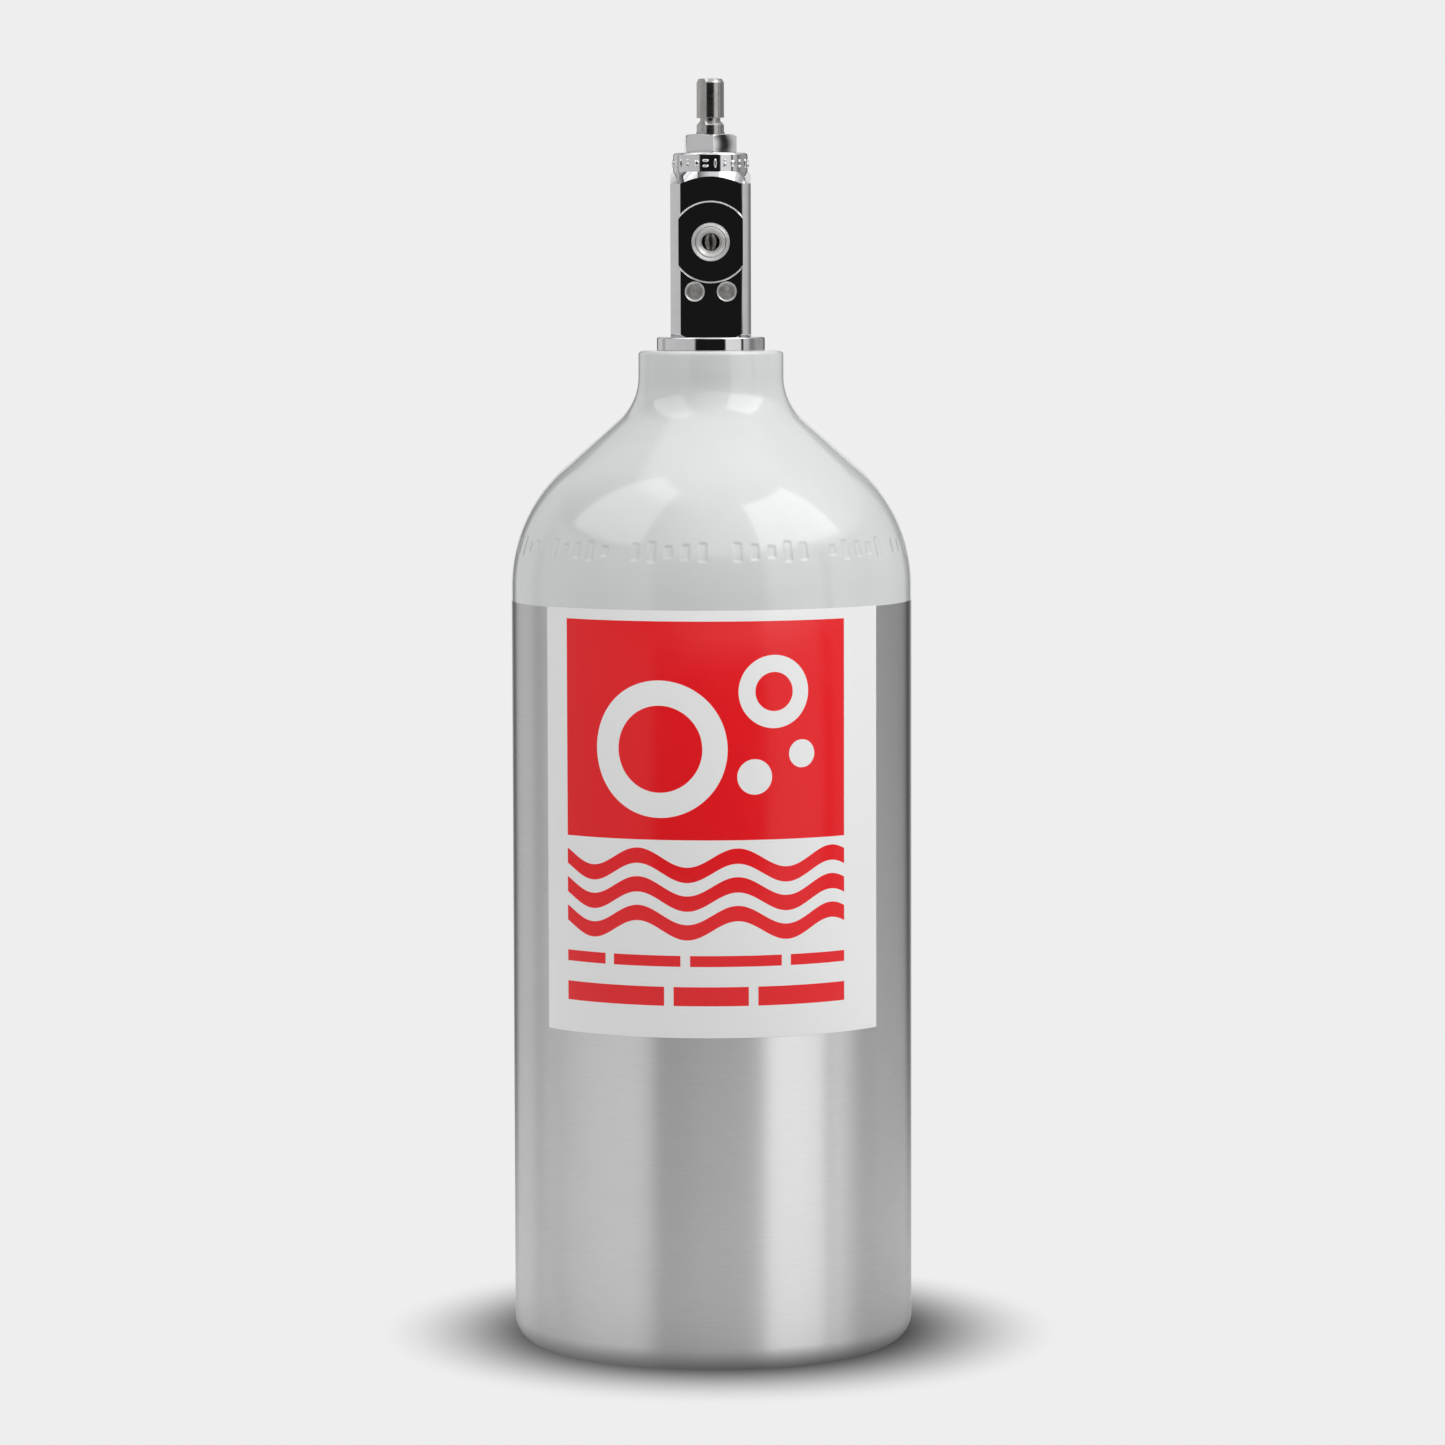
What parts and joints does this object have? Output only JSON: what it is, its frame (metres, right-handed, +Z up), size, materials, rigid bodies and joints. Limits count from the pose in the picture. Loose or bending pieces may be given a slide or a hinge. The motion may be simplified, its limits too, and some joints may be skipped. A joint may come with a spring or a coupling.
{
  "type": "oxygen cylinder with post valve",
  "caption": "Small aluminium gas cylinder with painted domed shoulder, brushed barrel, wrapped label and a chromed pin-index post valve turned by a flatted top stem.",
  "frame": {"origin": "centre of the flat base, on the surface the cylinder stands on", "axes": "+Z up along the cylinder's axis, -Y the way the outlet port and the label face, +X to the right seen from the front"},
  "size_m": [0.1112, 0.1114, 0.3519],
  "materials": {
    "brushed_barrel": "brushed barrel, gloss white paint above the shoulder line",
    "label_vinyl": "satin vinyl with red print",
    "chromed_brass": "polished chrome",
    "stem_steel": "satin, turned",
    "bare_brass": "turned",
    "seat_polymer": "moulded",
    "seal_polymer": "matte",
    "seal_rubber": "matte",
    "disc_metal": "rolled foil",
    "sintered_bronze": "sintered, rough"
  },
  "bodies": {
    "cylinder": {"cylinder_shell": "brushed_barrel", "label": "label_vinyl", "valve_body": "chromed_brass", "gland_nut": "chromed_brass", "relief_gasket": "seal_polymer", "relief_disc": "disc_metal", "relief_plug": "bare_brass", "neck_oring": "seal_rubber", "gland_oring": "seal_rubber", "stem_washer": "seal_polymer", "thrust_washer": "seal_polymer", "inlet_filter": "sintered_bronze", "debris_tube": "bare_brass"},
    "stem": {"valve_stem": "stem_steel", "stem_oring": "seal_rubber", "stem_backup_ring": "seal_polymer"},
    "plug": {"seat_plug": "stem_steel", "seat_pad": "seat_polymer"}
  },
  "joints": [
    {"name": "stem_turn", "type": "hinge", "parent": "cylinder", "child": "stem", "pos_m": [0, 0, 0.337], "axis": [0, 0, 1], "range_deg": [0, 540]},
    {"name": "plug_lift", "type": "slide", "parent": "stem", "child": "plug", "axis": [0, 0, 1], "range_m": [0, 0.00225]}
  ],
  "couplings": [
    {"joint": "stem_turn", "follows": "plug_lift", "rad_per_m": 4188.8}
  ]
}
